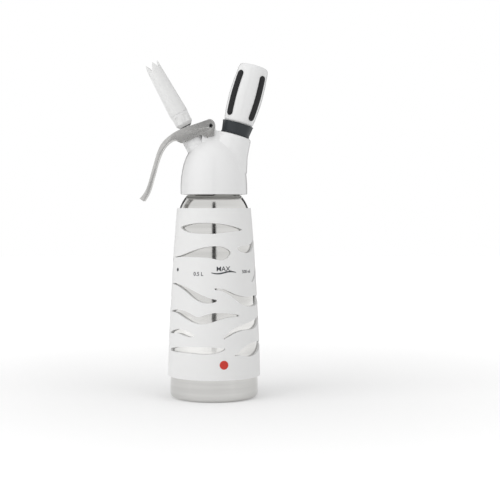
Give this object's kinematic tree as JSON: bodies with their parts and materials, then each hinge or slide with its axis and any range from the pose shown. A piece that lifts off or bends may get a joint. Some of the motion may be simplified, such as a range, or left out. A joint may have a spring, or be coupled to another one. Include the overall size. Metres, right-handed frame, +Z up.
{
  "type": "whipped cream dispenser",
  "caption": "Half-litre whipped cream dispenser: steel bottle in a striped sleeve, white screw-on head, sprung lever, toothed tip and a gas charger in a gripped holder.",
  "frame": {"origin": "centre of the bottle's flat base, where it stands", "axes": "+Z up along the bottle's axis, the charger holder leans to +X, the nozzle and lever lean to -X, and the picture's camera is on the -Y side"},
  "size_m": [0.1189, 0.0862, 0.3129],
  "materials": {
    "steel": "polished stainless steel",
    "silicone": "matt white silicone",
    "white_plastic": "gloss white",
    "core_plastic": "plain moulded",
    "seal_rubber": "soft black rubber",
    "stem_steel": "turned",
    "spring_steel": "drawn wire",
    "nozzle_plastic": "slightly translucent white",
    "lever_steel": "brushed",
    "pin_steel": "turned",
    "charger_steel": "plated",
    "dark_plastic": "satin charcoal",
    "grip_rubber": "soft black"
  },
  "bodies": {
    "bottle": {"bottle": "steel", "sleeve": "silicone"},
    "neck_seal": {"head_gasket": "seal_rubber"},
    "head": {"head_cover": "white_plastic", "head_core": "core_plastic", "inlet_valve_cap": "seal_rubber", "stem_o_ring": "seal_rubber", "valve_spring": "spring_steel", "lever_pin": "pin_steel", "piercing_pin": "pin_steel", "charger_gasket": "seal_rubber"},
    "lever": {"lever": "lever_steel"},
    "valve": {"valve_stem": "stem_steel", "valve_seal": "seal_rubber", "tip_adapter": "nozzle_plastic", "stem_washer": "seal_rubber"},
    "tip_seal": {"tip_gasket": "seal_rubber"},
    "tip": {"decorating_tip": "nozzle_plastic"},
    "charger": {"gas_charger": "charger_steel"},
    "holder": {"holder_collar": "dark_plastic", "holder_shell": "white_plastic", "holder_pad": "seal_rubber", "grip_1": "grip_rubber", "grip_2": "grip_rubber", "grip_3": "grip_rubber", "grip_4": "grip_rubber"}
  },
  "joints": [
    {"name": "head_rise", "type": "slide", "parent": "bottle", "child": "neck_seal", "axis": [0, 0, 1], "range_m": [0, 0.012]},
    {"name": "head_unscrew", "type": "hinge", "parent": "neck_seal", "child": "head", "pos_m": [0, 0, 0.19], "axis": [0, 0, 1], "range_deg": [0, 1082]},
    {"name": "lever_press", "type": "hinge", "parent": "head", "child": "lever", "pos_m": [-0.0028, 0, 0.2516], "axis": [0, -1, 0], "range_deg": [0, 11], "stiffness_Nm_per_rad": 0.5, "springref_deg": -9.74},
    {"name": "valve_travel", "type": "slide", "parent": "head", "child": "valve", "axis": [0.4833, 0, -0.8755], "range_m": [0, 0.0032], "deforming": ["valve_spring"]},
    {"name": "tip_rise", "type": "slide", "parent": "valve", "child": "tip_seal", "axis": [-0.4833, 0, 0.8755], "range_m": [0, 0.0075]},
    {"name": "tip_unscrew", "type": "hinge", "parent": "tip_seal", "child": "tip", "pos_m": [-0.0275, 0, 0.2543], "axis": [-0.4833, 0, 0.8755], "range_deg": [0, 1082]},
    {"name": "holder_rise", "type": "slide", "parent": "head", "child": "charger", "axis": [0.2723, 0, 0.9622], "range_m": [0, 0.0075]},
    {"name": "holder_unscrew", "type": "hinge", "parent": "charger", "child": "holder", "pos_m": [0.0196, 0, 0.244], "axis": [0.2723, 0, 0.9622], "range_deg": [0, 1082]}
  ],
  "couplings": [
    {"joint": "head_unscrew", "follows": "head_rise", "rad_per_m": 1570.8},
    {"joint": "valve_travel", "follows": "lever_press", "m_per_rad": 0.01615},
    {"joint": "tip_unscrew", "follows": "tip_rise", "rad_per_m": 2513.3},
    {"joint": "holder_unscrew", "follows": "holder_rise", "rad_per_m": 2513.3}
  ]
}
